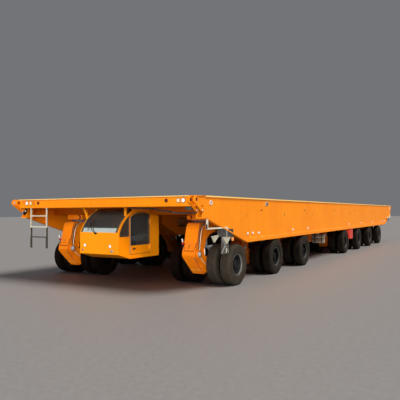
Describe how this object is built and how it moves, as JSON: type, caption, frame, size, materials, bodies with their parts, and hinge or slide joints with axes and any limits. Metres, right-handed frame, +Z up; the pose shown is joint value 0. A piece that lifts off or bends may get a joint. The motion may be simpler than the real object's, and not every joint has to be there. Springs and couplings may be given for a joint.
{
  "type": "self-propelled modular transporter",
  "caption": "Long flat-deck heavy transporter on slewing pendulum bogies with twin wheels, with a driver's cab slung under the front of the deck.",
  "frame": {"origin": "on the ground under the middle of the deck", "axes": "+Y back from the cab end along the deck, +X to the right seen from the front, +Z up"},
  "size_m": [6.62, 26.9, 2.4],
  "materials": {
    "frame_orange": "semi-gloss",
    "cab_orange": "gloss",
    "arm_orange": "semi-gloss",
    "dark_steel": "satin",
    "cab_glazing": "clear",
    "dark_trim": "matte",
    "cream_paint": "satin",
    "iron": "rough",
    "lamp_lens": "gloss",
    "tyre": "matte"
  },
  "bodies": {
    "chassis": {"deck_plate": "frame_orange", "side_girders": "frame_orange", "end_beams": "frame_orange", "cross_beams": "frame_orange", "spine_box": "frame_orange", "steering_gear": "dark_steel", "coupling_lugs": "frame_orange", "cab_shell": "cab_orange", "cab_glass": "cab_glazing", "operator_station": "dark_trim", "ladders": "cream_paint", "power_pack": "frame_orange", "engine_block": "iron", "tanks": "cream_paint", "lamps": "lamp_lens", "side_hangers": "cream_paint"},
    "door": {"cab_door": "cab_orange", "door_glass": "cab_glazing"},
    "bogie_left_1": {"bogie_left_1": "arm_orange"},
    "twin_left_1_outer": {"twin_left_1_outer": "tyre"},
    "twin_left_1_inner": {"twin_left_1_inner": "tyre"},
    "bogie_left_2": {"bogie_left_2": "arm_orange"},
    "twin_left_2_outer": {"twin_left_2_outer": "tyre"},
    "twin_left_2_inner": {"twin_left_2_inner": "tyre"},
    "bogie_left_3": {"bogie_left_3": "arm_orange"},
    "twin_left_3_outer": {"twin_left_3_outer": "tyre"},
    "twin_left_3_inner": {"twin_left_3_inner": "tyre"},
    "bogie_left_4": {"bogie_left_4": "arm_orange"},
    "twin_left_4_outer": {"twin_left_4_outer": "tyre"},
    "twin_left_4_inner": {"twin_left_4_inner": "tyre"},
    "bogie_left_5": {"bogie_left_5": "arm_orange"},
    "twin_left_5_outer": {"twin_left_5_outer": "tyre"},
    "twin_left_5_inner": {"twin_left_5_inner": "tyre"},
    "bogie_left_6": {"bogie_left_6": "arm_orange"},
    "twin_left_6_outer": {"twin_left_6_outer": "tyre"},
    "twin_left_6_inner": {"twin_left_6_inner": "tyre"},
    "bogie_left_7": {"bogie_left_7": "arm_orange"},
    "twin_left_7_outer": {"twin_left_7_outer": "tyre"},
    "twin_left_7_inner": {"twin_left_7_inner": "tyre"},
    "bogie_right_1": {"bogie_right_1": "arm_orange"},
    "twin_right_1_outer": {"twin_right_1_outer": "tyre"},
    "twin_right_1_inner": {"twin_right_1_inner": "tyre"},
    "bogie_right_2": {"bogie_right_2": "arm_orange"},
    "twin_right_2_outer": {"twin_right_2_outer": "tyre"},
    "twin_right_2_inner": {"twin_right_2_inner": "tyre"},
    "bogie_right_3": {"bogie_right_3": "arm_orange"},
    "twin_right_3_outer": {"twin_right_3_outer": "tyre"},
    "twin_right_3_inner": {"twin_right_3_inner": "tyre"},
    "bogie_right_4": {"bogie_right_4": "arm_orange"},
    "twin_right_4_outer": {"twin_right_4_outer": "tyre"},
    "twin_right_4_inner": {"twin_right_4_inner": "tyre"},
    "bogie_right_5": {"bogie_right_5": "arm_orange"},
    "twin_right_5_outer": {"twin_right_5_outer": "tyre"},
    "twin_right_5_inner": {"twin_right_5_inner": "tyre"},
    "bogie_right_6": {"bogie_right_6": "arm_orange"},
    "twin_right_6_outer": {"twin_right_6_outer": "tyre"},
    "twin_right_6_inner": {"twin_right_6_inner": "tyre"},
    "bogie_right_7": {"bogie_right_7": "arm_orange"},
    "twin_right_7_outer": {"twin_right_7_outer": "tyre"},
    "twin_right_7_inner": {"twin_right_7_inner": "tyre"}
  },
  "joints": [
    {"name": "door_hinge", "type": "hinge", "parent": "chassis", "child": "door", "pos_m": [0.714, -11.76, 1.375], "axis": [0, 0, 1], "range_deg": [0, 50]},
    {"name": "steer_left_1", "type": "hinge", "parent": "chassis", "child": "bogie_left_1", "pos_m": [-2.34, -11.46, 1.775], "axis": [0, 0, 1], "range_deg": [-90, 90]},
    {"name": "roll_left_1_outer", "type": "hinge", "parent": "bogie_left_1", "child": "twin_left_1_outer", "pos_m": [-2.9375, -11.21, 0.56], "axis": [1, 0, 0], "continuous": true},
    {"name": "roll_left_1_inner", "type": "hinge", "parent": "bogie_left_1", "child": "twin_left_1_inner", "pos_m": [-1.7425, -11.21, 0.56], "axis": [1, 0, 0], "continuous": true},
    {"name": "steer_left_2", "type": "hinge", "parent": "chassis", "child": "bogie_left_2", "pos_m": [-2.34, -8.67, 1.775], "axis": [0, 0, 1], "range_deg": [-90, 90]},
    {"name": "roll_left_2_outer", "type": "hinge", "parent": "bogie_left_2", "child": "twin_left_2_outer", "pos_m": [-2.9375, -8.42, 0.56], "axis": [1, 0, 0], "continuous": true},
    {"name": "roll_left_2_inner", "type": "hinge", "parent": "bogie_left_2", "child": "twin_left_2_inner", "pos_m": [-1.7425, -8.42, 0.56], "axis": [1, 0, 0], "continuous": true},
    {"name": "steer_left_3", "type": "hinge", "parent": "chassis", "child": "bogie_left_3", "pos_m": [-2.34, -5.88, 1.775], "axis": [0, 0, 1], "range_deg": [-90, 90]},
    {"name": "roll_left_3_outer", "type": "hinge", "parent": "bogie_left_3", "child": "twin_left_3_outer", "pos_m": [-2.9375, -5.63, 0.56], "axis": [1, 0, 0], "continuous": true},
    {"name": "roll_left_3_inner", "type": "hinge", "parent": "bogie_left_3", "child": "twin_left_3_inner", "pos_m": [-1.7425, -5.63, 0.56], "axis": [1, 0, 0], "continuous": true},
    {"name": "steer_left_4", "type": "hinge", "parent": "chassis", "child": "bogie_left_4", "pos_m": [-2.34, 0.17, 1.775], "axis": [0, 0, 1], "range_deg": [-90, 90]},
    {"name": "roll_left_4_outer", "type": "hinge", "parent": "bogie_left_4", "child": "twin_left_4_outer", "pos_m": [-2.9375, 0.42, 0.56], "axis": [1, 0, 0], "continuous": true},
    {"name": "roll_left_4_inner", "type": "hinge", "parent": "bogie_left_4", "child": "twin_left_4_inner", "pos_m": [-1.7425, 0.42, 0.56], "axis": [1, 0, 0], "continuous": true},
    {"name": "steer_left_5", "type": "hinge", "parent": "chassis", "child": "bogie_left_5", "pos_m": [-2.34, 2.96, 1.775], "axis": [0, 0, 1], "range_deg": [-90, 90]},
    {"name": "roll_left_5_outer", "type": "hinge", "parent": "bogie_left_5", "child": "twin_left_5_outer", "pos_m": [-2.9375, 3.21, 0.56], "axis": [1, 0, 0], "continuous": true},
    {"name": "roll_left_5_inner", "type": "hinge", "parent": "bogie_left_5", "child": "twin_left_5_inner", "pos_m": [-1.7425, 3.21, 0.56], "axis": [1, 0, 0], "continuous": true},
    {"name": "steer_left_6", "type": "hinge", "parent": "chassis", "child": "bogie_left_6", "pos_m": [-2.34, 5.75, 1.775], "axis": [0, 0, 1], "range_deg": [-90, 90]},
    {"name": "roll_left_6_outer", "type": "hinge", "parent": "bogie_left_6", "child": "twin_left_6_outer", "pos_m": [-2.9375, 6, 0.56], "axis": [1, 0, 0], "continuous": true},
    {"name": "roll_left_6_inner", "type": "hinge", "parent": "bogie_left_6", "child": "twin_left_6_inner", "pos_m": [-1.7425, 6, 0.56], "axis": [1, 0, 0], "continuous": true},
    {"name": "steer_left_7", "type": "hinge", "parent": "chassis", "child": "bogie_left_7", "pos_m": [-2.34, 8.54, 1.775], "axis": [0, 0, 1], "range_deg": [-90, 90]},
    {"name": "roll_left_7_outer", "type": "hinge", "parent": "bogie_left_7", "child": "twin_left_7_outer", "pos_m": [-2.9375, 8.79, 0.56], "axis": [1, 0, 0], "continuous": true},
    {"name": "roll_left_7_inner", "type": "hinge", "parent": "bogie_left_7", "child": "twin_left_7_inner", "pos_m": [-1.7425, 8.79, 0.56], "axis": [1, 0, 0], "continuous": true},
    {"name": "steer_right_1", "type": "hinge", "parent": "chassis", "child": "bogie_right_1", "pos_m": [2.34, -11.46, 1.775], "axis": [0, 0, 1], "range_deg": [-90, 90]},
    {"name": "roll_right_1_outer", "type": "hinge", "parent": "bogie_right_1", "child": "twin_right_1_outer", "pos_m": [2.9375, -11.21, 0.56], "axis": [1, 0, 0], "continuous": true},
    {"name": "roll_right_1_inner", "type": "hinge", "parent": "bogie_right_1", "child": "twin_right_1_inner", "pos_m": [1.7425, -11.21, 0.56], "axis": [1, 0, 0], "continuous": true},
    {"name": "steer_right_2", "type": "hinge", "parent": "chassis", "child": "bogie_right_2", "pos_m": [2.34, -8.67, 1.775], "axis": [0, 0, 1], "range_deg": [-90, 90]},
    {"name": "roll_right_2_outer", "type": "hinge", "parent": "bogie_right_2", "child": "twin_right_2_outer", "pos_m": [2.9375, -8.42, 0.56], "axis": [1, 0, 0], "continuous": true},
    {"name": "roll_right_2_inner", "type": "hinge", "parent": "bogie_right_2", "child": "twin_right_2_inner", "pos_m": [1.7425, -8.42, 0.56], "axis": [1, 0, 0], "continuous": true},
    {"name": "steer_right_3", "type": "hinge", "parent": "chassis", "child": "bogie_right_3", "pos_m": [2.34, -5.88, 1.775], "axis": [0, 0, 1], "range_deg": [-90, 90]},
    {"name": "roll_right_3_outer", "type": "hinge", "parent": "bogie_right_3", "child": "twin_right_3_outer", "pos_m": [2.9375, -5.63, 0.56], "axis": [1, 0, 0], "continuous": true},
    {"name": "roll_right_3_inner", "type": "hinge", "parent": "bogie_right_3", "child": "twin_right_3_inner", "pos_m": [1.7425, -5.63, 0.56], "axis": [1, 0, 0], "continuous": true},
    {"name": "steer_right_4", "type": "hinge", "parent": "chassis", "child": "bogie_right_4", "pos_m": [2.34, 0.17, 1.775], "axis": [0, 0, 1], "range_deg": [-90, 90]},
    {"name": "roll_right_4_outer", "type": "hinge", "parent": "bogie_right_4", "child": "twin_right_4_outer", "pos_m": [2.9375, 0.42, 0.56], "axis": [1, 0, 0], "continuous": true},
    {"name": "roll_right_4_inner", "type": "hinge", "parent": "bogie_right_4", "child": "twin_right_4_inner", "pos_m": [1.7425, 0.42, 0.56], "axis": [1, 0, 0], "continuous": true},
    {"name": "steer_right_5", "type": "hinge", "parent": "chassis", "child": "bogie_right_5", "pos_m": [2.34, 2.96, 1.775], "axis": [0, 0, 1], "range_deg": [-90, 90]},
    {"name": "roll_right_5_outer", "type": "hinge", "parent": "bogie_right_5", "child": "twin_right_5_outer", "pos_m": [2.9375, 3.21, 0.56], "axis": [1, 0, 0], "continuous": true},
    {"name": "roll_right_5_inner", "type": "hinge", "parent": "bogie_right_5", "child": "twin_right_5_inner", "pos_m": [1.7425, 3.21, 0.56], "axis": [1, 0, 0], "continuous": true},
    {"name": "steer_right_6", "type": "hinge", "parent": "chassis", "child": "bogie_right_6", "pos_m": [2.34, 5.75, 1.775], "axis": [0, 0, 1], "range_deg": [-90, 90]},
    {"name": "roll_right_6_outer", "type": "hinge", "parent": "bogie_right_6", "child": "twin_right_6_outer", "pos_m": [2.9375, 6, 0.56], "axis": [1, 0, 0], "continuous": true},
    {"name": "roll_right_6_inner", "type": "hinge", "parent": "bogie_right_6", "child": "twin_right_6_inner", "pos_m": [1.7425, 6, 0.56], "axis": [1, 0, 0], "continuous": true},
    {"name": "steer_right_7", "type": "hinge", "parent": "chassis", "child": "bogie_right_7", "pos_m": [2.34, 8.54, 1.775], "axis": [0, 0, 1], "range_deg": [-90, 90]},
    {"name": "roll_right_7_outer", "type": "hinge", "parent": "bogie_right_7", "child": "twin_right_7_outer", "pos_m": [2.9375, 8.79, 0.56], "axis": [1, 0, 0], "continuous": true},
    {"name": "roll_right_7_inner", "type": "hinge", "parent": "bogie_right_7", "child": "twin_right_7_inner", "pos_m": [1.7425, 8.79, 0.56], "axis": [1, 0, 0], "continuous": true}
  ]
}
